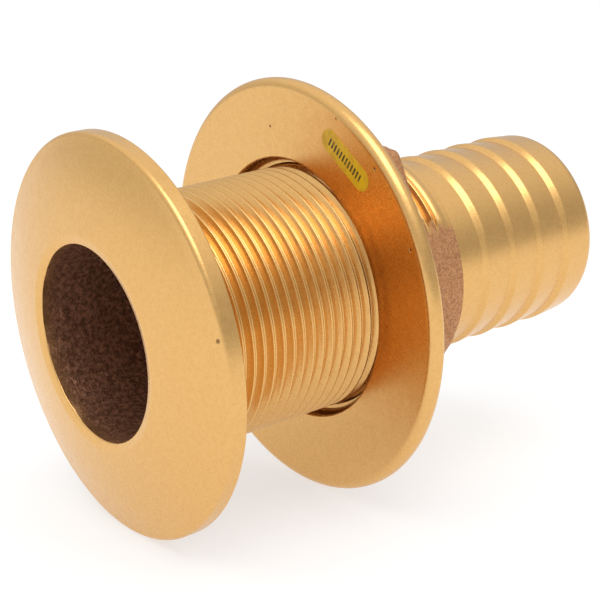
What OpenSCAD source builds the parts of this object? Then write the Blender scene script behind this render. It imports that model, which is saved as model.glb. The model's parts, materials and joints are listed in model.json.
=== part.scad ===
// Bronze thru-hull fitting: a mushroom-head body with a threaded barrel and a hose tail,
// and the flanged hexagon nut that clamps the hull between its face and the head.
// Frame: the axis lies along +X, from the water side to the hose end, and +Z is up.
// The origin is the centre of the head's hull-bearing face. All sizes are in millimetres.

/* [Head] */
// Outside diameter of the mushroom head
head_d = 76.2; // [70:0.1:90]
// Thickness of the head's rim
rim_t = 3.4; // [2.4:0.1:6]
// Height of the water-side face, from the rim to the mouth
dome_h = 4.2; // [2:0.1:10]
// How far the water-side face bulges out of a plain cone
dome_crown = 0.45; // [0:0.05:1]
// Radius of the rim's outer edge
rim_round = 0.9; // [0.3:0.1:1.2]
// Radius of the rounded lip at the bore's mouth
lip_round = 0.9; // [0.3:0.1:1.5]

/* [Bore] */
// Diameter of the cast bore through the head and the barrel
bore_d = 37; // [30:0.1:39]
// Diameter of the bore through the hose tail
tail_bore_d = 32.6; // [24:0.1:34]
// Where the bore starts to narrow
bore_step_start = 38; // [20:0.5:44]
// Where the narrower bore begins
bore_step_end = 50; // [46:0.5:58]

/* [Barrel and thread] */
// Outside diameter of the 1-1/2 inch straight pipe thread
thread_d = 48.26; // [47.5:0.01:49]
// Thread pitch, 11.5 turns to the inch
pitch = 2.2087; // [2.1:0.0001:2.3]
// Depth of the thread
thread_depth = 1.35; // [0.8:0.05:1.4]
// Width of the flat left on each crest
crest_w = 0.3; // [0.2:0.05:0.4]
// Where the thread starts behind the head
thread_start = 3; // [2:0.1:6]
// Where the threaded barrel ends
barrel_end = 63; // [58:0.1:66]
// Distance from the axis to the plane that bounds each of the two cast wrench reliefs
relief_h = 20; // [19.6:0.1:21.5]
// Radius of the cast metal in the middle of a relief
relief_r = 22.5; // [22:0.1:22.7]
// Where the two reliefs begin
relief_start = 45; // [40:0.5:54]

/* [Hose tail] */
// Diameter over the ridges, for a 1-1/2 inch hose
ridge_d = 40.3; // [39.6:0.1:41]
// Diameter between the ridges
valley_d = 39.1; // [38.4:0.1:39.6]
// Number of ridges
ridge_count = 4; // [2:1:4]
// Distance from one ridge to the next
ridge_pitch = 7.55; // [6.5:0.05:7.6]
// Place of the first ridge's crest
ridge_first = 73.1; // [70:0.1:74]
// Where the hose tail ends
tail_end = 103.1; // [102:0.1:115]
// Radius of the tail's outer end
tail_round = 2.4; // [1:0.1:2.6]

/* [Nut] */
// Outside diameter of the nut's flange
flange_d = 82.55; // [76:0.05:92]
// Thickness of the flange at its rim
flange_t = 3.2; // [2.6:0.1:6]
// Distance from the head's face to the nut's face, which is the hull thickness it clamps
grip = 38.2; // [37.5:0.1:40]
// Width across the hexagon's flats
hex_af = 62; // [58:0.1:66]
// Length of the whole nut
nut_len = 11; // [10:0.1:14]
// Turn of the hexagon about the axis
hex_turn = 37; // [0:1:59]
// Diameter of the clearance recess in the nut's face
recess_d = 52; // [50:0.1:54]
// Depth of the clearance recess
recess_depth = 3.5; // [2:0.1:4]
// Radial running clearance between the two threads
thread_clearance = 0.12; // [0.1:0.01:0.2]

/* [Label] */
// Length of the stadium-shaped label
label_l = 14.8; // [8:0.1:20]
// Width of the label
label_w = 4.4; // [2:0.1:6]
// Thickness of the label, which is let into the nut's face by as much, so that the face stays flat
label_t = 0.1; // [0.05:0.01:0.3]
// Distance from the axis to the middle of the label
label_r = 34; // [31:0.1:36]
// Angle of the label about the axis, from +Y towards +Z
label_angle = 123.4; // [0:0.1:359.9]
// Turn of the label in its own plane
label_tilt = 2; // [-30:1:30]

/* [Hidden] */

ROUND = 96;                 // segments of a turned surface as OpenSCAD draws it
THREAD_SIDES = 32;          // straight sides in one turn of a thread
POINTS_PER_TURN = 4;        // corners of the thread's outline in one pitch
overlap = 0.3;              // how far a thread runs into the plain metal at each end
edge_break = 0.4;           // small chamfer on turned edges
bronze = "#D8A657";
raw_bronze = "#B27D5A";
label_yellow = "#E2C02A";

head_r = head_d / 2;
bore_r = bore_d / 2;
tail_bore_r = tail_bore_d / 2;
crest_r = thread_d / 2;
root_r = crest_r - thread_depth;
plain_r = root_r - 0.25;              // barrel in front of the thread and behind it
thread_end = barrel_end - 1.9;        // the barrel is plain from here to its end
flank_w = thread_depth * tan(30);
thread_phase = 9.35 - pitch / 2;      // a crest passes through this X at +Y
mouth_x = -rim_t - dome_h;
nut_end = grip + nut_len;

// Ridge outline of the tail
ridge_r = ridge_d / 2;
valley_r = valley_d / 2;
cove_l = 2.4;                         // length of the hollow step in front of a crest
land_l = 1;                           // length of the cylindrical land on a crest
shoulder_r = 2;                       // fillet between the barrel's end and the tail

// Ring of the nut's own metal that carries its travel, in a closed pocket
ring_x = grip + 5.2;
ring_w = 1.6;
ring_in = 27;
ring_out = 29;
ring_gap = 0.1;

// Points on a circular arc, from angle a0 to angle a1
function arc(centre, r, a0, a1, steps = 8) =
    [for (i = [0:steps]) let (a = a0 + (a1 - a0) * i / steps) centre + r * [cos(a), sin(a)]];

// A solid of revolution about X, from an outline given as [radius, X] points
module turned(outline) {
    rotate([0, 90, 0]) rotate_extrude($fn = ROUND) polygon(outline);
}

// ---- Thread ----

// Offsets of the outline's corners from a crest's centre, and how high each stands (0 root, 1 crest)
corner_x = [-crest_w / 2, crest_w / 2, crest_w / 2 + flank_w, pitch - crest_w / 2 - flank_w];
corner_h = [1, 1, 0, 0];

// Squeezes the first and last turn, so that the corners never pass the thread's ends
function squeeze(x, start, end) =
    x < start + pitch ? start + (x - start + pitch) / 2
    : x > end - pitch ? end - (end + pitch - x) / 2
    : x;

// The thread fades out over one pitch at each end
function fade(x, start, end) = max(0, min(1, (x - start) / pitch, (end - x) / pitch));

// Corner number k on side number j: [X, radius]
function thread_corner(j, k, start, end, low, high, turns_start) =
    let (
        turn = floor(k / POINTS_PER_TURN),
        c = k - turn * POINTS_PER_TURN,
        raw = turns_start + pitch * (turn + j / THREAD_SIDES) + corner_x[c],
        x = squeeze(raw, start, end)
    )
    [x, low + (high - low) * corner_h[c] * fade(x, start, end)];

function around(x, r, j) =
    [x, r * cos(360 * j / THREAD_SIDES), r * sin(360 * j / THREAD_SIDES)];

// A solid rod with a right-hand helical thread from start to end, and plain ends of radius low
module threaded_rod(start, end, low, high) {
    n = THREAD_SIDES;
    turns_start = thread_phase + pitch * (ceil((start - pitch - thread_phase + crest_w) / pitch));
    turn_count = floor((end + pitch - turns_start - pitch) / pitch);
    last = turn_count * POINTS_PER_TURN - 1;
    rows = last + 3;
    points = [
        for (j = [0:n - 1]) each concat(
            [around(start - overlap, low, j)],
            [for (k = [0:last])
                let (p = thread_corner(j, k, start, end, low, high, turns_start))
                around(p[0], p[1], j)],
            [around(end + overlap, low, j)]
        )
    ];
    sides = [
        for (j = [0:n - 2], i = [0:rows - 2])
            let (a = j * rows + i, b = a + rows)
            each [[a, a + 1, b], [a + 1, b + 1, b]]
    ];
    // Where the last side meets the first, the outline has moved on by one pitch
    s = (n - 1) * rows;
    seam_start = concat(
        [[s, s + 1, 0]],
        [for (i = [0:POINTS_PER_TURN]) [s + 1, i + 1, i]]
    );
    seam_mid = [
        for (i = [1:rows - 3 - POINTS_PER_TURN])
            let (a = s + i, b = i + POINTS_PER_TURN)
            each [[a, a + 1, b], [a + 1, b + 1, b]]
    ];
    seam_end = concat(
        [for (i = [rows - 2 - POINTS_PER_TURN:rows - 2]) [s + i, s + i + 1, rows - 2]],
        [[s + rows - 1, rows - 1, rows - 2]]
    );
    caps = [
        [for (j = [0:n - 1]) j * rows],
        [for (j = [n - 1:-1:0]) j * rows + rows - 1]
    ];
    polyhedron(points, concat(sides, seam_start, seam_mid, seam_end, caps));
}

// ---- Body ----

// Water-side face, a slightly crowned cone from the mouth out to the rim
function dome(steps = 10) =
    let (
        inner = [bore_r + lip_round, mouth_x],
        outer = [head_r - rim_round, -rim_t]
    )
    [for (i = [0:steps])
        let (t = i / steps)
        inner + (outer - inner) * t - [0, 4 * dome_crown * t * (1 - t)]];

module head() {
    turned(concat(
        [[0, mouth_x]],
        dome(),
        arc([head_r - rim_round, -rim_t + rim_round], rim_round, -90, 0),
        [[head_r, -edge_break], [head_r - edge_break, 0], [0, 0]]
    ));
}

// Plain neck between the head and the first turn of the thread
module neck() {
    turned([[0, -1], [plain_r, -1], [plain_r, thread_start], [0, thread_start]]);
}

// Shoulder at the barrel's end, and the root of the tail behind it
module shoulder() {
    turned(concat(
        [[0, thread_end], [plain_r, thread_end]],
        [[plain_r, barrel_end - edge_break], [plain_r - edge_break, barrel_end]],
        arc([valley_r + shoulder_r, barrel_end + shoulder_r], shoulder_r, 270, 180),
        [[valley_r, barrel_end + 4], [0, barrel_end + 4]]
    ));
}

// One ridge: a hollow step up to a short land, and then a slope down towards the hose end
function ridge(x) = concat(
    [for (i = [0:6])
        let (t = i / 6)
        [valley_r + (ridge_r - valley_r) * t * t, x - land_l / 2 - cove_l * (1 - t)]],
    [[ridge_r, x + land_l / 2]]
);

module tail() {
    end_r = valley_r - 0.1;
    turned(concat(
        [[0, barrel_end + 2], [valley_r, barrel_end + 2]],
        [for (i = [0:ridge_count - 1]) each ridge(ridge_first + i * ridge_pitch)],
        arc([end_r - tail_round, tail_end - tail_round], tail_round, 0, 90),
        [[0, tail_end]]
    ));
}

// The cast waterway: a wide bore with a rounded mouth, a cone and the tail's narrower bore
module waterway() {
    turned(concat(
        [[0, mouth_x - 2], [bore_r + lip_round, mouth_x - 2]],
        arc([bore_r + lip_round, mouth_x + lip_round], lip_round, 270, 180),
        [
            [bore_r, bore_step_start],
            [tail_bore_r, bore_step_end],
            [tail_bore_r, tail_end - 1],
            [tail_bore_r + 1, tail_end],
            [tail_bore_r + 1, tail_end + 2],
            [0, tail_end + 2]
        ]
    ));
}

// Metal outside the two cast wrench reliefs at the end of the barrel, one on each side
module wrench_reliefs() {
    span = 2 * thread_d;
    length = barrel_end - relief_start + 0.5;
    difference() {
        for (side = [-1, 1])
            translate([relief_start, side * (relief_h + span / 2) - span / 2, -span / 2])
                cube([length, span, span]);
        turned([[0, relief_start - 1], [relief_r, relief_start - 1],
            [relief_r, barrel_end + 1], [0, barrel_end + 1]]);
    }
}

module hull_body() {
    color(bronze) difference() {
        union() {
            head();
            neck();
            threaded_rod(thread_start, thread_end, root_r, crest_r);
            shoulder();
            tail();
        }
        wrench_reliefs();
        waterway();
    }
}

// ---- Nut ----

module flange() {
    front_round = 1.6;
    back_round = 1.2;
    r = flange_d / 2;
    turned(concat(
        [[0, grip]],
        arc([r - front_round, grip + front_round], front_round, -90, 0),
        arc([r - back_round, grip + flange_t - back_round], back_round, 0, 90),
        [[hex_af / 2, grip + flange_t + 0.8], [0, grip + flange_t + 0.8]]
    ));
}

module hexagon() {
    corner_r = hex_af / 2 / cos(30);
    top = nut_end;
    intersection() {
        rotate([hex_turn, 0, 0]) rotate([0, 90, 0])
            translate([0, 0, grip + 1]) cylinder(r = corner_r, h = nut_len - 1, $fn = 6);
        turned([[0, grip], [corner_r + 1, grip], [corner_r + 1, top - 1.2],
            [corner_r - 1.1, top], [0, top]]);
    }
}

module recess() {
    r = recess_d / 2;
    turned([[0, grip - 1], [r + edge_break, grip - 1], [r + edge_break, grip], [r, grip + edge_break],
        [r, grip + recess_depth], [0, grip + recess_depth]]);
}

// Tap that cuts the nut's thread, larger than the body's thread by the running clearance
module tap() {
    widen = 1 / cos(180 / THREAD_SIDES);
    threaded_rod(
        grip - 2 * pitch, nut_end + 2 * pitch,
        (root_r + thread_clearance) * widen, (crest_r + thread_clearance) * widen
    );
}

module ring_outline(gap) {
    turned([
        [ring_in - gap, ring_x - gap], [ring_out + gap, ring_x - gap],
        [ring_out + gap, ring_x + ring_w + gap], [ring_in - gap, ring_x + ring_w + gap]
    ]);
}

module flange_nut() {
    color(raw_bronze) difference() {
        union() {
            flange();
            hexagon();
        }
        recess();
        tap();
        ring_outline(ring_gap);
        label_shape(1);
    }
}

module nut_travel_ring() {
    color(raw_bronze) ring_outline(0);
}

// ---- Label ----

// A strip with half-round ends, let into the nut's face. clear is how far it reaches out of the face
module label_shape(clear = 0) {
    rotate([label_angle, 0, 0])
        translate([grip - clear, label_r, 0])
            rotate([label_tilt, 0, 0]) rotate([0, 90, 0])
                linear_extrude(label_t + clear) union() {
                    square([label_l - label_w, label_w], center = true);
                    for (side = [-1, 1])
                        translate([side * (label_l - label_w) / 2, 0])
                            circle(d = label_w, $fn = 48);
                }
}

module origin_label() {
    color(label_yellow) label_shape();
}

hull_body();
flange_nut();
nut_travel_ring();
origin_label();
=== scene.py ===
"""The looks of a bronze thru-hull fitting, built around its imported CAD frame.

The casting and the nut are detailed skins: rings of points round the X axis, with true helical
threads, cast surfaces that are really uneven, and turned surfaces that are smooth. Lengths are in
millimetres here, and become metres when a mesh is made.
"""

import json
import math

import bmesh
import bpy
import numpy as np
from mathutils import Matrix, Vector


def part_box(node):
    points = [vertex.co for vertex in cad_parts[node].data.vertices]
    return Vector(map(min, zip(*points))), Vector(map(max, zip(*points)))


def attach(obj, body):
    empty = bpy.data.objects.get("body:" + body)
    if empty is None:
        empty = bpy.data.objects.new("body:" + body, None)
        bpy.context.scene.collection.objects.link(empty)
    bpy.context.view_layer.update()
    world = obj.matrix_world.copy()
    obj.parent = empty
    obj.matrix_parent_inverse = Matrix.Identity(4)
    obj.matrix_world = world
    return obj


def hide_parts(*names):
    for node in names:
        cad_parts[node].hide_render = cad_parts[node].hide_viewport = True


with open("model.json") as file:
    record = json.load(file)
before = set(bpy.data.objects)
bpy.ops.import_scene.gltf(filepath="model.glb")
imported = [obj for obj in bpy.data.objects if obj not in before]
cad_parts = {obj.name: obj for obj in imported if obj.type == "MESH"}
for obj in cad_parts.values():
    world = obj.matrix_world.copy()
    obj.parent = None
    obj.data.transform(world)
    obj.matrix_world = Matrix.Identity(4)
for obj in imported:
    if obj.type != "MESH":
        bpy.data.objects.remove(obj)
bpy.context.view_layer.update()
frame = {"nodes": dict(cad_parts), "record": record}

MM = 0.001

# ---- Dimensions from the frame ----


def extent(node):
    """Lowest and highest corner of a CAD node, in millimetres."""
    low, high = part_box(node)
    return low / MM, high / MM


record = frame["record"]
mount_r = {m["name"]: m["dims"].get("r_mm") for m in record["mounts"]}
body_low, body_high = extent("hull_body")
nut_low, nut_high = extent("flange_nut")
label_low, label_high = extent("origin_label")

MOUTH_X = body_low.x
TAIL_END = body_high.x
HEAD_R = body_high.y
BORE_R = mount_r["waterway_bore"]
TAIL_BORE_R = mount_r["tail_bore"]
RIDGE_R = mount_r["hose_tail"]
CREST_R = mount_r["barrel_thread"]
GRIP = nut_low.x
NUT_END = nut_high.x
FLANGE_R = nut_high.y
PITCH = record["behaviour"]["couplings"][0]["ratio"] * 2 * math.pi / MM

# ---- Dimensions of the details ----

RIM_T = 3.4             # thickness of the head's rim
RIM_ROUND = 0.9
DOME_CROWN = 0.45       # how far the head's face bulges out of a cone
LIP_WIDTH = 1.6         # shallow rounding round the bore's mouth
LIP_DEPTH = 0.45
THREAD_DEPTH = 1.35
THREAD_START = 3.0
THREAD_END = 61.1
PLAIN_R = CREST_R - THREAD_DEPTH - 0.25
BARREL_END = 63.0
RELIEF_H = 20.0         # distance from the axis to the plane that bounds each cast wrench relief
RELIEF_R = 22.5         # radius of the cast metal in a relief
RELIEF_START = 45.0
VALLEY_R = 19.55        # hose tail between its ridges
RIDGE_COUNT = 4
RIDGE_PITCH = 7.55
RIDGE_FIRST = 73.1
TAIL_ROUND = 2.4
BORE_STEP = (38.0, 50.0)    # the bore narrows between these
FLANGE_T = 3.2
HEX_FLAT_R = 31.0       # distance from the axis to the hexagon's flats
HEX_CORNER = 67.0       # direction of one of its corners, from +Y towards +Z
HEX_ROUND = 1.2         # rounding of its outer edge
FOOT_ROUND = 1.0        # fillet where it meets the flange
FOOT_RISE = 0.8         # how far the flange rises from its rim to the hexagon
RECESS_R = 26.0
RECESS_DEPTH = 3.5
CLEARANCE = 0.12        # between the two threads
CREST_PHASE = 9.35 - PITCH / 2      # a crest passes through this X at +Y
LABEL_SIZE = (14.8, 4.4)
LABEL_ANGLE = 123.4
LABEL_TILT = 2.0
LABEL_T = 0.1           # the label lies on the nut's face

BODY_COLUMNS = 180
NUT_COLUMNS = 360


# ---- Noise ----


def lumps(points, size, seed):
    """Smooth seeded noise from -1 to 1 at each point, with lumps about as big as size."""
    cells = 32
    lattice = np.random.default_rng(seed).uniform(-1, 1, (cells, cells, cells))
    scaled = points / size
    base = np.floor(scaled).astype(int)
    part = scaled - base
    part = part * part * (3 - 2 * part)
    total = np.zeros(points.shape[:-1])
    for corner in np.ndindex(2, 2, 2):
        at = (base + corner) % cells
        weight = np.prod(np.where(corner, part, 1 - part), axis=-1)
        total += weight * lattice[at[..., 0], at[..., 1], at[..., 2]]
    return total


def cast_relief(points, seed):
    """How far a sand-cast surface stands proud at each point, from about -1 to 1."""
    return (
        0.6 * lumps(points, 3.1, seed)
        + 0.4 * lumps(points, 1.3, seed + 1)
        + 0.3 * lumps(points, 0.6, seed + 2)
    )


def smooth_step(value, low, high):
    t = np.clip((value - low) / (high - low), 0, 1)
    return t * t * (3 - 2 * t)


# ---- Outlines ----


def rounded(corners, step, arc_steps=6, support=0.08):
    """Points [X, radius] along an outline, step apart on its straights.

    Each corner is (X, radius, rounding).
    """
    places = [np.array(c[:2], float) for c in corners]
    runs = []
    for i, (place, corner) in enumerate(zip(places, corners)):
        if corner[2] == 0:
            runs.append([place])
            continue
        back = places[i - 1] - place
        ahead = places[i + 1] - place
        back /= np.linalg.norm(back)
        ahead /= np.linalg.norm(ahead)
        half = math.acos(np.clip(back @ ahead, -1, 1)) / 2
        reach = corner[2] / math.tan(half)
        middle = back + ahead
        centre = place + middle / np.linalg.norm(middle) * corner[2] / math.sin(half)
        first = place + back * reach - centre
        last = place + ahead * reach - centre
        turn = math.pi - 2 * half
        runs.append([
            centre + (first * math.sin(turn * (1 - s)) + last * math.sin(turn * s)) / math.sin(turn)
            for s in np.linspace(0, 1, arc_steps + 1)
        ])
    outline = list(runs[0])
    for run in runs[1:]:
        start, end = outline[-1], run[0]
        length = np.linalg.norm(end - start)
        if length > 4 * support:
            inner = max(1, round((length - 2 * support) / step))
            for s in np.linspace(support, length - support, inner + 1):
                outline.append(start + (end - start) * s / length)
        outline.extend(run)
    return np.array(outline)


def rings(outline, columns):
    """An outline repeated in every column: an array of [row, column, (X, radius)]."""
    return np.repeat(outline[:, None, :], columns, axis=1)


# ---- Threads ----

# One turn of the thread's outline: offset from the crest's centre, and height from root 0 to crest 1
THREAD_OUTLINE = [
    (-0.11, 1.0), (0.11, 1.0), (0.24, 0.9), (0.84, 0.1),
    (1.0, 0.0), (PITCH - 1.0, 0.0), (PITCH - 0.84, 0.1), (PITCH - 0.24, 0.9),
]
TURN_ROWS = len(THREAD_OUTLINE)


def helix(start, end, root, crest, plain, columns):
    """Rings of a right-hand thread between two plain rings, whose rows climb one pitch in a turn."""
    turns_start = CREST_PHASE + PITCH * math.ceil((start - PITCH - CREST_PHASE + 0.3) / PITCH)
    turns = math.floor((end - turns_start) / PITCH)
    lift = PITCH * np.arange(columns) / columns
    rows = [np.stack([np.full(columns, start - 0.3), np.full(columns, plain)], -1)]
    for turn in range(turns):
        for offset, height in THREAD_OUTLINE:
            x = turns_start + PITCH * turn + lift + offset
            x = np.where(x < start + PITCH, start + (x - start + PITCH) / 2, x)
            x = np.where(x > end - PITCH, end - (end + PITCH - x) / 2, x)
            fade = np.clip(np.minimum(x - start, end - x) / PITCH, 0, 1)
            r = root + (crest - root) * height
            rows.append(np.stack([x, plain + (r - plain) * fade], -1))
    rows.append(np.stack([np.full(columns, end + 0.3), np.full(columns, plain)], -1))
    return np.array(rows)


# ---- Skins ----


def points_of(grid):
    """The points of rings, as an array of [row, column, (X, Y, Z)]."""
    angle = 2 * np.pi * np.arange(grid.shape[1]) / grid.shape[1]
    r = grid[..., 1]
    return np.stack([grid[..., 0], r * np.cos(angle), r * np.sin(angle)], -1)


def skin_faces(rows, columns, first, last):
    """Faces of a closed skin. Rows first to last are helical, and meet the next turn's rows at the seam."""
    def at(i, j):
        return (i % rows) * columns + j

    end = columns - 1
    faces = [
        (at(i, j), at(i, j + 1), at(i + 1, j + 1), at(i + 1, j))
        for i in range(rows) for j in range(end)
    ]
    plain = [i for i in range(rows) if i < first - 1 or i > last]
    faces += [(at(i, end), at(i, 0), at(i + 1, 0), at(i + 1, end)) for i in plain]
    shift = TURN_ROWS
    faces.append((at(first - 1, end), at(first - 1, 0), at(first, end)))
    for i in range(first - 1, first + shift):
        faces.append((at(first, end), at(i, 0), at(i + 1, 0)))
    for i in range(first, last - shift):
        faces.append((at(i, end), at(i + shift, 0), at(i + shift + 1, 0), at(i + 1, end)))
    for i in range(last - shift, last + 1):
        faces.append((at(i, end), at(last, 0), at(i + 1, end)))
    faces.append((at(last + 1, end), at(last, 0), at(last + 1, 0)))
    return faces


def make_mesh(name, points, faces, marks=None):
    """A smooth mesh object from points in millimetres. marks are named numbers for each point."""
    mesh = bpy.data.meshes.new(name)
    mesh.from_pydata((points.reshape(-1, 3) * MM).tolist(), [], faces)
    for mark, values in (marks or {}).items():
        mesh.attributes.new(mark, "FLOAT", "POINT").data.foreach_set(
            "value", values.astype(np.float32).ravel()
        )
    edit = bmesh.new()
    edit.from_mesh(mesh)
    bmesh.ops.recalc_face_normals(edit, faces=edit.faces)
    edit.to_mesh(mesh)
    edit.free()
    mesh.shade_smooth()
    thing = bpy.data.objects.new(name, mesh)
    bpy.context.scene.collection.objects.link(thing)
    return thing


# ---- Body casting ----


def head_outline():
    """From inside the mouth, over the lip, the dome and the rim, to the neck."""
    outline = rounded([
        (MOUTH_X + 3, BORE_R, 0),
        (MOUTH_X + LIP_DEPTH, BORE_R, 0.3),
        (MOUTH_X, BORE_R + LIP_WIDTH, 1.5),
        (-RIM_T, HEAD_R, RIM_ROUND),
        (0, HEAD_R, 0.35),
        (0, PLAIN_R, 1.0),
        (THREAD_START - 1, PLAIN_R, 0),
    ], step=1.6)
    x, r = outline.T
    inner = BORE_R + LIP_WIDTH
    t = np.clip((r - inner) / (HEAD_R - RIM_ROUND - inner), 0, 1)
    on_dome = x < -RIM_T + 0.3
    return np.stack([x - on_dome * DOME_CROWN * 4 * t * (1 - t), r], -1)


def tail_outline():
    """From the barrel's end, over the hose tail, and back through the waterway."""
    ridges = []
    for i in range(RIDGE_COUNT):
        crest = RIDGE_FIRST + i * RIDGE_PITCH
        ridges += [(crest - 2.0, VALLEY_R - 0.12, 0.6), (crest - 0.8, RIDGE_R, 0.9)]
    return rounded([
        (BARREL_END - 0.5, PLAIN_R, 0),
        (BARREL_END, PLAIN_R, 0.3),
        (BARREL_END + 0.9, VALLEY_R, 1.6),
        *ridges,
        (TAIL_END, VALLEY_R - 0.1, TAIL_ROUND),
        (TAIL_END, TAIL_BORE_R, 0.7),
        (BORE_STEP[1], TAIL_BORE_R, 3.0),
        (BORE_STEP[0], BORE_R, 3.0),
        (MOUTH_X + 3.6, BORE_R, 0),
    ], step=1.1)


def make_body():
    thread = helix(
        THREAD_START, THREAD_END, CREST_R - THREAD_DEPTH, CREST_R, PLAIN_R, BODY_COLUMNS
    )
    head = rings(head_outline(), BODY_COLUMNS)
    grid = np.concatenate([head, thread, rings(tail_outline(), BODY_COLUMNS)])
    first = len(head) + 1
    last = len(head) + len(thread) - 2
    x, r = grid[..., 0], grid[..., 1].copy()
    points = points_of(grid)
    relief = cast_relief(points, seed=11)

    # The bore is as cast, from the mouth's lip to just inside the tail's end
    inside = r < TAIL_BORE_R + 0.01
    inside |= (r < BORE_R + 0.01) & (x < BORE_STEP[1])
    in_bore = inside * smooth_step(x, MOUTH_X + 0.5, MOUTH_X + 0.9) * smooth_step(TAIL_END - x, 1.2, 2.4)
    r += in_bore * 0.16 * relief

    # The wrench reliefs are as cast too, with ragged edges where the thread runs out over them
    angle = 2 * np.pi * np.arange(BODY_COLUMNS) / BODY_COLUMNS
    ragged = RELIEF_H + 0.35 * lumps(points, 1.1, seed=31)
    edge_r = ragged / np.maximum(np.abs(np.cos(angle)), 0.2)
    lead = (CREST_R - RELIEF_R) * smooth_step(-x, -RELIEF_START - 1.5, -RELIEF_START)
    relief_r = np.maximum(RELIEF_R + 0.06 * relief, edge_r) + lead
    near = (x > RELIEF_START - 1) & (x < BARREL_END + 0.2) & (r > BORE_R + 1)
    in_relief = near * smooth_step(r - relief_r, -0.05, 0.1)
    in_sector = near & (x > THREAD_END - 0.5) & (edge_r < RELIEF_R + 0.3)
    in_relief = np.maximum(in_relief, in_sector)
    r = np.where(near & (r > relief_r), relief_r, r)

    low = CREST_R - THREAD_DEPTH
    on_thread = np.zeros(r.shape)
    on_thread[first:last + 1] = 1 - np.clip((r[first:last + 1] - low) / THREAD_DEPTH, 0, 1)
    points = points_of(np.stack([x, r], -1))
    faces = skin_faces(len(grid), BODY_COLUMNS, first, last)
    marks = {
        "cast": np.maximum(in_bore, in_relief),
        "bore": in_bore,
        "root": on_thread * (1 - in_relief),
    }
    return make_mesh("body_casting", points, faces, marks)


# ---- Nut ----


def hexagon_r(angle, sharpness=110):
    """Radius of a hexagon with rounded corners, in each direction."""
    across = [
        np.abs(np.cos(angle - math.radians(HEX_CORNER + 30 + 60 * k))) ** sharpness
        for k in range(3)
    ]
    return HEX_FLAT_R / sum(across) ** (1 / sharpness)


def make_nut():
    angle = 2 * np.pi * np.arange(NUT_COLUMNS) / NUT_COLUMNS
    wide = hexagon_r(angle)
    tap_root = CREST_R - THREAD_DEPTH + CLEARANCE
    tap_crest = CREST_R + CLEARANCE
    floor_x = GRIP + RECESS_DEPTH
    thread = helix(floor_x + 2.2, NUT_END - 0.5, tap_root, tap_crest, tap_crest + 0.05, NUT_COLUMNS)

    def row(x, r):
        return np.stack(np.broadcast_arrays(np.asarray(x, float), np.asarray(r, float), angle)[:2], -1)

    back_x = GRIP + FLANGE_T
    foot_x = back_x + FOOT_RISE
    rows = [row(NUT_END, tap_crest + 0.25)]
    top_r = wide - HEX_ROUND
    rows += [row(NUT_END, tap_crest + (top_r - tap_crest) * t) for t in np.linspace(0.12, 1, 8)]
    for t in np.linspace(15, 90, 6):
        bend = math.radians(t)
        edge_x = NUT_END - HEX_ROUND * (1 - math.cos(bend))
        rows.append(row(edge_x, wide - HEX_ROUND * (1 - math.sin(bend))))
    rows += [row(x, wide) for x in np.linspace(NUT_END - 1.6, foot_x + 1.2, 8)]
    for t in np.linspace(15, 90, 6):
        bend = math.radians(t)
        fillet_x = foot_x + FOOT_ROUND * (1 - math.sin(bend))
        rows.append(row(fillet_x, wide + FOOT_ROUND * (1 - math.cos(bend))))
    edge = FLANGE_R - 1.3
    foot_r = wide + FOOT_ROUND
    rows += [row(foot_x - FOOT_RISE * t, foot_r + (edge - foot_r) * t) for t in np.linspace(0.12, 0.95, 8)]
    flange = rounded([
        (back_x + 0.02, edge - 0.1, 0),
        (back_x, FLANGE_R, 1.2),
        (GRIP, FLANGE_R, 1.7),
        (GRIP, RECESS_R, 0.35),
        (floor_x, RECESS_R, 1.2),
        (floor_x, tap_crest + 0.2, 0),
    ], step=1.5)
    grid = np.concatenate([thread, np.array(rows), rings(flange, NUT_COLUMNS)])

    # The hexagon and the flange's back round it are as cast
    x, r = grid[..., 0], grid[..., 1].copy()
    points = points_of(grid)
    relief = cast_relief(points, seed=23)
    cast = smooth_step(x, back_x + 0.15, back_x + 0.5) * smooth_step(r, tap_crest + 0.6, tap_crest + 1.4)
    steep = smooth_step(x, foot_x, foot_x + 1.0) * smooth_step(NUT_END - x, 0.0, 0.6)
    r += cast * steep * 0.2 * relief
    x = x + cast * (1 - steep) * 0.12 * (relief - 1)
    root = np.zeros(r.shape)
    root[1:len(thread) - 1] = np.clip((r[1:len(thread) - 1] - tap_root) / THREAD_DEPTH, 0, 1)
    points = points_of(np.stack([x, r], -1))
    faces = skin_faces(len(grid), NUT_COLUMNS, 1, len(thread) - 2)
    return make_mesh("nut_casting", points, faces, {"cast": cast, "root": root})


# ---- Label ----


def stadium(length, width, steps=16):
    """Points round a strip with half-round ends, centred at zero."""
    ends = []
    for side in (1, -1):
        middle = side * (length - width) / 2
        for a in np.linspace(-math.pi / 2, math.pi / 2, steps + 1):
            ends.append((middle + side * width / 2 * math.cos(a), side * width / 2 * math.sin(a)))
    return np.array(ends)


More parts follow.
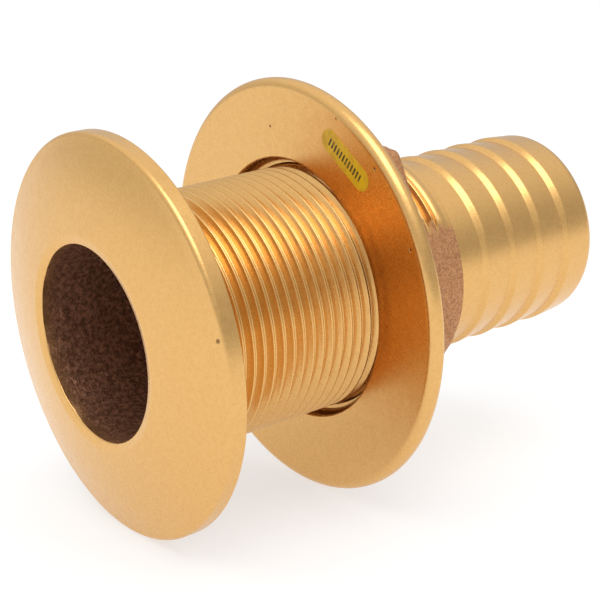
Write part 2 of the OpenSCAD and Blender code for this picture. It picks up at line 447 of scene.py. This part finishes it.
def plate(name, outlines, low, high, edge):
    """Thin plates on the nut's face. Each outline is in the label's own plane, with X along the label."""
    middle_r = (Vector(label_low.yz) + Vector(label_high.yz)).length / 2
    turn = math.radians(LABEL_ANGLE)
    heading = turn + math.radians(LABEL_TILT) + math.pi / 2
    along = Vector((math.cos(heading), math.sin(heading)))
    across = Vector((-along.y, along.x))
    centre = Vector((math.cos(turn), math.sin(turn))) * middle_r
    points = []
    faces = []
    for outline in outlines:
        count = len(outline)
        middle = outline.mean(axis=0)
        reach = np.abs(outline - middle).max(axis=0)
        layers = [(high, 0), (low + edge, 0), (low, edge)]
        base = len(points)
        for x, inset in layers:
            for u, v in middle + (outline - middle) * (1 - inset / reach):
                spot = centre + along * u + across * v
                points.append((x, spot.x, spot.y))
        for layer in range(len(layers) - 1):
            for i in range(count):
                a, b = base + layer * count + i, base + layer * count + (i + 1) % count
                faces.append((a, b, b + count, a + count))
        faces.append(tuple(range(base, base + count)))
        faces.append(tuple(range(base + 2 * count, base + 3 * count)))
    thing = make_mesh(name, np.array(points), faces)
    thing.data.set_sharp_from_angle(angle=math.radians(30))
    return thing


def make_label():
    return plate("label_plate", [stadium(*LABEL_SIZE)], GRIP - LABEL_T, GRIP + 0.02, 0.03)


def make_marks():
    """A row of plain equal bars on the label."""
    bar = np.array([(-0.2, -0.8), (0.2, -0.8), (0.2, 0.8), (-0.2, 0.8)])
    places = np.linspace(-4.9, 4.9, 12)
    bars = [bar + (u, 0) for u in places]
    return plate("label_bars", bars, GRIP - LABEL_T - 0.02, GRIP - LABEL_T + 0.01, 0.01)


# ---- Materials ----


class Shader:
    """A material under construction: its nodes, and one Principled shader."""

    def __init__(self, name):
        self.material = bpy.data.materials.new(name)
        self.material.use_nodes = True
        self.tree = self.material.node_tree
        self.surface = self.tree.nodes["Principled BSDF"]
        self.place = self.node("ShaderNodeTexCoord").outputs["Object"]
        self.turn_cache = None

    def node(self, kind, inputs=None, **settings):
        made = self.tree.nodes.new(kind)
        for key, value in settings.items():
            setattr(made, key, value)
        for key, value in (inputs or {}).items():
            self.put(made.inputs[key], value)
        return made

    def put(self, socket, value):
        if isinstance(value, bpy.types.NodeSocket):
            self.tree.links.new(value, socket)
        else:
            socket.default_value = value

    def maths(self, operation, a, b=0.0):
        return self.node("ShaderNodeMath", {0: a, 1: b}, operation=operation).outputs[0]

    def ramp(self, value, low, high, to_low=0.0, to_high=1.0):
        inputs = {"Value": value, "From Min": low, "From Max": high, "To Min": to_low, "To Max": to_high}
        return self.node("ShaderNodeMapRange", inputs, interpolation_type="SMOOTHSTEP").outputs["Result"]

    def noise(self, scale, detail=3.0, roughness=0.55, place=None):
        inputs = {"Vector": place or self.place, "Scale": scale, "Detail": detail, "Roughness": roughness}
        return self.node("ShaderNodeTexNoise", inputs).outputs["Fac"]

    def mark(self, name):
        return self.node("ShaderNodeAttribute", attribute_name=name).outputs["Fac"]

    def mix(self, share, a, b):
        made = self.node("ShaderNodeMix", data_type="RGBA")
        for index, value in ((0, share), (6, a), (7, b)):
            self.put(made.inputs[index], value)
        return made.outputs[2]

    def blend(self, share, a, b):
        made = self.node("ShaderNodeMix", data_type="FLOAT")
        for index, value in ((0, share), (2, a), (3, b)):
            self.put(made.inputs[index], value)
        return made.outputs[0]

    def turned(self):
        """A distance in metres that grows across turned grooves, on faces and on cylinders alike."""
        if self.turn_cache is None:
            parts = self.node("ShaderNodeSeparateXYZ", {0: self.place}).outputs
            squares = self.maths("ADD", self.maths("MULTIPLY", parts[1], parts[1]),
                                 self.maths("MULTIPLY", parts[2], parts[2]))
            self.turn_cache = self.maths("ADD", parts[0], self.maths("SQRT", squares))
        return self.turn_cache

    def grooves(self, per_mm, detail=2.0):
        inputs = {"W": self.turned(), "Scale": per_mm / MM, "Detail": detail, "Roughness": 0.6}
        return self.node("ShaderNodeTexNoise", inputs, noise_dimensions="1D").outputs["Fac"]

    def bump(self, height, distance, strength=1.0, normal=None):
        inputs = {"Height": height, "Distance": distance * MM, "Strength": strength}
        made = self.node("ShaderNodeBump", inputs)
        if normal is not None:
            self.put(made.inputs["Normal"], normal)
        return made.outputs["Normal"]

    def spot(self, centre, size):
        """1 near a point, falling to 0 at size from it, both in millimetres."""
        apart = self.node(
            "ShaderNodeVectorMath", {0: self.place, 1: Vector(centre) * MM}, operation="DISTANCE"
        ).outputs["Value"]
        return self.ramp(apart, size * MM, size * MM * 0.35)

    def finish(self, **sockets):
        for name, value in sockets.items():
            self.put(self.surface.inputs[name.replace("_", " ")], value)
        return self.material


TURNED_BRONZE = (0.78, 0.465, 0.17, 1)
TURNED_STAIN = (0.74, 0.43, 0.15, 1)
CAST_BRONZE = (0.60, 0.30, 0.135, 1)
CAST_DARK = (0.42, 0.195, 0.085, 1)
PAINTED_GLINT_COLOUR = (0.78, 0.50, 0.36, 1)
BORE_BROWN = (0.66, 0.35, 0.21, 1)
BORE_DARK = (0.20, 0.085, 0.045, 1)
PIT_BROWN = (0.16, 0.07, 0.03, 1)


def face_point(x, r, degrees):
    """A point on a face of the fitting, from its radius and its direction from +Y towards +Z."""
    a = math.radians(degrees)
    return (x, r * math.cos(a), r * math.sin(a))


def bronze(name, pits):
    """Turned bronze where the mark cast is 0, and raw sand-cast bronze where it is 1."""
    s = Shader(name)
    cast = s.mark("cast")
    smooth = s.maths("SUBTRACT", 1.0, cast)
    stain = s.ramp(s.noise(1300, detail=5, roughness=0.7), 0.38, 0.66)
    turned = s.mix(stain, TURNED_BRONZE, TURNED_STAIN)
    turned = s.mix(s.maths("MULTIPLY", s.mark("root"), 0.25), turned, TURNED_STAIN)
    pit = None
    for centre, size in pits:
        here = s.spot(centre, size)
        pit = here if pit is None else s.maths("MAXIMUM", pit, here)
    turned = s.mix(s.maths("MULTIPLY", pit, 0.8), turned, PIT_BROWN)

    grain = s.noise(2000, detail=4, roughness=0.6)
    # Painted glints: bright specks painted into the raw bronze's colour, standing in for sparkles of light
    glint = s.ramp(s.noise(3200, detail=2), 0.62, 0.74)
    raw = s.mix(s.ramp(grain, 0.36, 0.62), CAST_DARK, CAST_BRONZE)
    raw = s.mix(s.maths("MULTIPLY", glint, 0.45), raw, PAINTED_GLINT_COLOUR)
    flecks = s.noise(1100, detail=5, roughness=0.7)
    sooty = s.mix(s.ramp(flecks, 0.38, 0.68), BORE_DARK, BORE_BROWN)
    raw = s.mix(s.mark("bore"), raw, sooty)

    fine = s.grooves(3.0)
    satin = s.noise(3800, detail=2)
    smudge = s.noise(500, detail=4)
    turned_rough = s.ramp(smudge, 0.3, 0.7, 0.24, 0.30)
    raw_rough = s.ramp(grain, 0.3, 0.7, 0.62, 0.46)
    raw_rough = s.blend(s.mark("bore"), raw_rough, s.ramp(flecks, 0.35, 0.65, 0.55, 0.3))
    lines = s.bump(fine, 0.007, smooth)
    lines = s.bump(satin, 0.007, smooth, lines)
    dents = s.bump(s.maths("MULTIPLY", pit, -1.0), 0.15, smooth, lines)
    sand = s.bump(grain, 0.16, cast, dents)
    s.finish(
        Base_Color=s.mix(cast, turned, raw),
        Metallic=s.blend(cast, 1.0, 0.75),
        Roughness=s.blend(cast, turned_rough, raw_rough),
        Normal=sand,
        Anisotropic=0.35,
    )
    tangent = s.node("ShaderNodeTangent", direction_type="RADIAL", axis="X")
    s.put(s.surface.inputs["Tangent"], tangent.outputs["Tangent"])
    return s.material


def cast_bronze():
    """Raw sand-cast bronze all over, for metal that never shows."""
    s = Shader("cast_bronze")
    grain = s.noise(900, detail=5, roughness=0.65)
    return s.finish(
        Base_Color=s.mix(s.ramp(grain, 0.42, 0.62), CAST_DARK, CAST_BRONZE),
        Metallic=0.75,
        Roughness=s.ramp(grain, 0.3, 0.7, 0.62, 0.46),
        Normal=s.bump(grain, 0.35),
    )


def label_vinyl():
    s = Shader("label_vinyl")
    worn = s.noise(420, detail=4)
    return s.finish(
        Base_Color=s.mix(s.ramp(worn, 0.35, 0.75), (0.70, 0.44, 0.008, 1), (0.55, 0.30, 0.006, 1)),
        Roughness=s.ramp(worn, 0.3, 0.7, 0.32, 0.45),
        Normal=s.bump(s.noise(300), 0.02),
    )


def label_ink():
    s = Shader("label_ink")
    wear = s.noise(1500, detail=3)
    return s.finish(
        Base_Color=s.mix(s.ramp(wear, 0.45, 0.7), (0.03, 0.025, 0.01, 1), (0.25, 0.17, 0.02, 1)),
        Roughness=s.ramp(wear, 0.3, 0.7, 0.45, 0.6),
        Normal=s.bump(wear, 0.01),
    )


HEAD_PITS = [
    (face_point(-RIM_T - 0.4, 37.0, 167), 0.55),
    (face_point(-RIM_T - 0.4, 37.6, 170), 0.3),
    (face_point(-RIM_T - 1.7, 30.9, 135), 0.3),
    (face_point(-RIM_T - 1.5, 31.9, 136), 0.25),
]
NUT_PITS = [
    (face_point(GRIP, 38.7, 158), 0.4),
    (face_point(GRIP, 32.1, 83), 0.35),
    (face_point(GRIP, 39.4, 115), 0.3),
    (face_point(GRIP, 38.8, 134), 0.4),
]

# ---- The pieces, in place ----

body = make_body()
body.data.materials.append(bronze("body_bronze", HEAD_PITS))
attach(body, "body")
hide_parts("hull_body")

nut = make_nut()
nut.data.materials.append(bronze("nut_bronze", NUT_PITS))
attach(nut, "nut")
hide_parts("flange_nut")

label = make_label()
label.data.materials.append(label_vinyl())
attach(label, "nut")
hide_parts("origin_label")

bars = make_marks()
bars.data.materials.append(label_ink())
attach(bars, "nut")

ring = frame["nodes"]["nut_travel_ring"]
ring.data.materials.clear()
ring.data.materials.append(cast_bronze())

# ---- Stage ----

# The fitting lies on the rims of its head and of its nut, so the floor leans a little towards +X
head_rest = Vector((-RIM_T + RIM_ROUND, HEAD_R))
nut_rest = Vector((GRIP + 1.7, FLANGE_R))
lean = math.atan2(nut_rest.y - head_rest.y, nut_rest.x - head_rest.x)
floor_up = Vector((math.sin(lean), 0, math.cos(lean)))
floor_at = floor_up.x * head_rest.x - floor_up.z * head_rest.y


def make_floor():
    half = FLOOR_HALF
    mesh = bpy.data.meshes.new("floor")
    corners = [(x, y, 0) for x, y in ((-half, -half), (half, -half), (half, half), (-half, half))]
    tilt = Vector((0, 0, 1)).rotation_difference(floor_up)
    points = [(tilt @ Vector(c) + floor_up * floor_at) * MM for c in corners]
    mesh.from_pydata([tuple(p) for p in points], [], [(0, 1, 2, 3)])
    thing = bpy.data.objects.new("floor", mesh)
    bpy.context.scene.collection.objects.link(thing)
    material = bpy.data.materials.new("floor_white")
    material.use_nodes = True
    surface = material.node_tree.nodes["Principled BSDF"]
    surface.inputs["Base Color"].default_value = (0.4, 0.4, 0.4, 1)
    surface.inputs["Emission Color"].default_value = (1, 1, 1, 1)
    surface.inputs["Emission Strength"].default_value = FLOOR_GLOW
    surface.inputs["Roughness"].default_value = 0.9
    surface.inputs["Specular IOR Level"].default_value = 0.1
    mesh.materials.append(material)


def make_world():
    """Soft studio light from all round, dimmer near the horizon, and dimmest to the right of the camera."""
    world = bpy.data.worlds.new("studio")
    bpy.context.scene.world = world
    world.use_nodes = True
    tree = world.node_tree

    def node(kind, inputs, **settings):
        made = tree.nodes.new(kind)
        for key, value in settings.items():
            setattr(made, key, value)
        for key, value in inputs.items():
            if isinstance(value, bpy.types.NodeSocket):
                tree.links.new(value, made.inputs[key])
            else:
                made.inputs[key].default_value = value
        return made

    direction = node("ShaderNodeTexCoord", {}).outputs["Generated"]
    height = node("ShaderNodeSeparateXYZ", {0: direction}).outputs[2]
    side = node("ShaderNodeVectorMath", {0: direction, 1: (-0.5, 0.86, 0)}, operation="DOT_PRODUCT")
    low = node("ShaderNodeMapRange", {
        "Value": side.outputs["Value"], "From Min": -0.9, "From Max": 0.9,
        "To Min": HORIZON_DIM, "To Max": HORIZON_LIT,
    })
    share = node("ShaderNodeMapRange", {
        "Value": height, "From Min": 0.25, "From Max": 0.75, "To Min": 0.0, "To Max": 1.0,
    }, interpolation_type="SMOOTHSTEP")
    level = node("ShaderNodeMix", {
        0: share.outputs["Result"], 2: low.outputs["Result"], 3: CEILING,
    }, data_type="FLOAT")
    background = tree.nodes["Background"]
    background.inputs["Color"].default_value = (1, 1, 1, 1)
    tree.links.new(level.outputs[0], background.inputs["Strength"])


def make_light(name, direction, distance, size, watts):
    lamp = bpy.data.lights.new(name, "AREA")
    lamp.shape = "RECTANGLE"
    lamp.size, lamp.size_y = size
    lamp.energy = watts
    thing = bpy.data.objects.new(name, lamp)
    bpy.context.scene.collection.objects.link(thing)
    away = Vector(direction).normalized()
    thing.location = Vector((0.045, 0, 0)) + away * distance
    thing.rotation_euler = away.to_track_quat("Z", "Y").to_euler()


def make_camera():
    azimuth, elevation = math.radians(36.3), math.radians(17.49)
    aim = Vector((39.13, -0.95, -2.44))
    distance = 311.8
    ahead = Vector((
        math.sin(azimuth) * math.cos(elevation),
        math.cos(azimuth) * math.cos(elevation),
        -math.sin(elevation),
    ))
    right = ahead.cross(floor_up).normalized()
    up = right.cross(ahead)
    lens = bpy.data.cameras.new("camera")
    lens.lens = 95.07
    lens.clip_start = 0.01
    lens.clip_end = 20
    thing = bpy.data.objects.new("camera", lens)
    bpy.context.scene.collection.objects.link(thing)
    turn = Matrix((right, up, -ahead)).transposed().to_4x4()
    thing.matrix_world = Matrix.Translation((aim - ahead * distance) * MM) @ turn
    bpy.context.scene.camera = thing


FLOOR_HALF = 14000.0        # half the floor's width, in millimetres
FLOOR_GLOW = 0.62           # the floor is lit from below, like a light table
HORIZON_DIM = 0.53
HORIZON_LIT = 0.75
CEILING = 1.0
KEY_DIRECTION = (-0.1, -0.35, 0.93)     # nearly overhead, a little to the camera's side
KEY_DISTANCE = 0.9
KEY_SIZE = (0.8, 0.6)
KEY_WATTS = 3.4
make_floor()
make_world()
make_light("key", KEY_DIRECTION, KEY_DISTANCE, KEY_SIZE, KEY_WATTS)
make_camera()
bpy.context.scene.view_settings.view_transform = "Standard"
